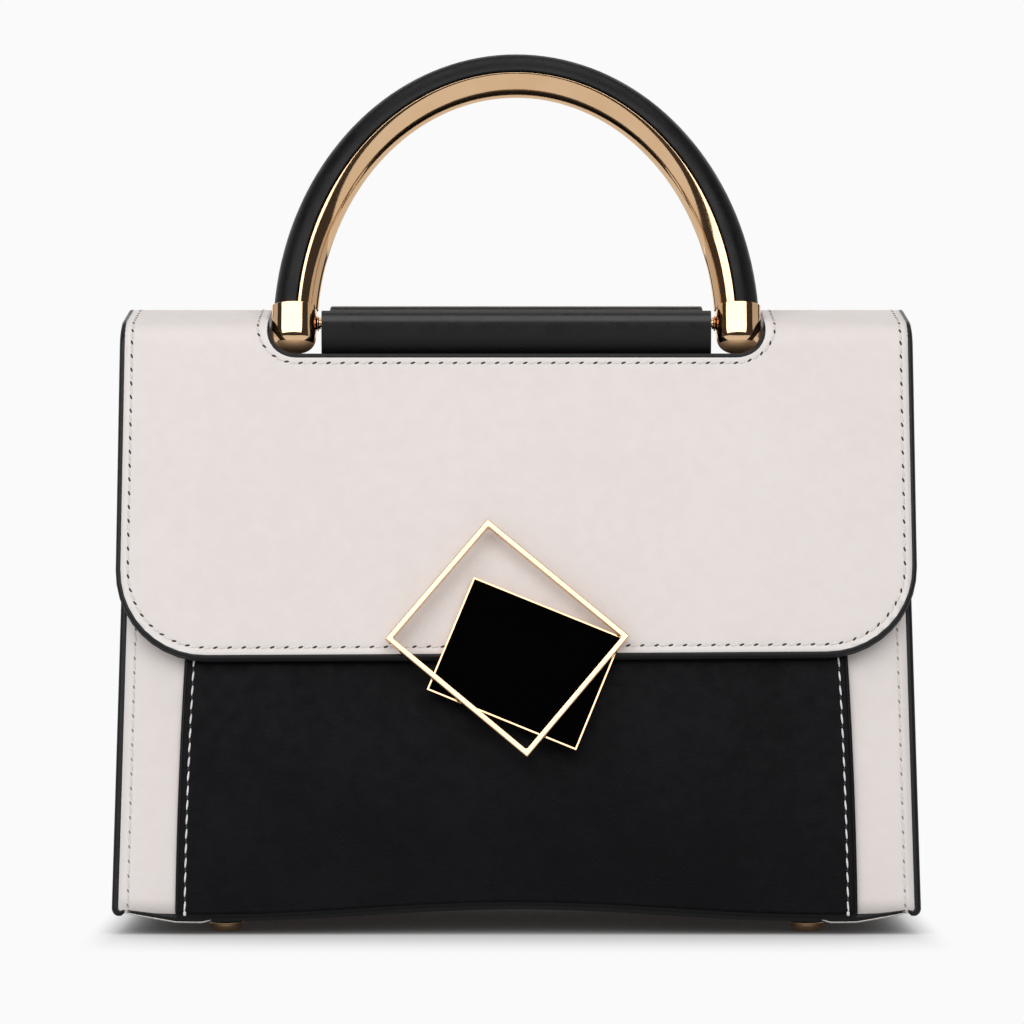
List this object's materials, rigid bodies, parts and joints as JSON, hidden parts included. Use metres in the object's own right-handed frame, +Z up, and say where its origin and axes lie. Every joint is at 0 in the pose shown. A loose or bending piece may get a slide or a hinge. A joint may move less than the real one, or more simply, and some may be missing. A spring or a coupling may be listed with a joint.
{
  "type": "top-handle flap handbag",
  "caption": "Structured A-line flap bag in two-tone leather with a rigid arched metal handle that swings on a rod, a geometric clasp ornament and metal feet.",
  "frame": {"origin": "on the floor, under the middle of the bag's bounding box", "axes": "+Z up, the front with the flap and clasp faces -Y, +X to the right as seen from the front"},
  "size_m": [0.2216, 0.0976, 0.2458],
  "materials": {
    "cream_leather": "fine-grained cream leather, semi-matte",
    "black_leather": "fine-grained black leather, semi-matte",
    "gold_metal": "polished pale gold plating",
    "black_enamel": "glossy black enamel"
  },
  "bodies": {
    "bag": {"front_panel": "cream_leather", "front_center_panel": "black_leather", "back_panel": "cream_leather", "gusset_left": "cream_leather", "gusset_right": "cream_leather", "bottom_panel": "cream_leather", "foot_front_left": "gold_metal", "foot_front_right": "gold_metal", "foot_back_left": "gold_metal", "foot_back_right": "gold_metal", "flap": "cream_leather", "handle_sleeve": "black_leather", "clasp_frame": "gold_metal", "clasp_enamel": "black_enamel", "clasp_magnet": "gold_metal"},
    "handle": {"handle_arch": "gold_metal", "handle_wrap": "black_leather", "handle_rod": "gold_metal"}
  },
  "joints": [
    {"name": "handle_swing", "type": "hinge", "parent": "bag", "child": "handle", "pos_m": [0, -0.0092, 0.1685], "axis": [1, 0, 0], "range_deg": [-76, 106]}
  ]
}
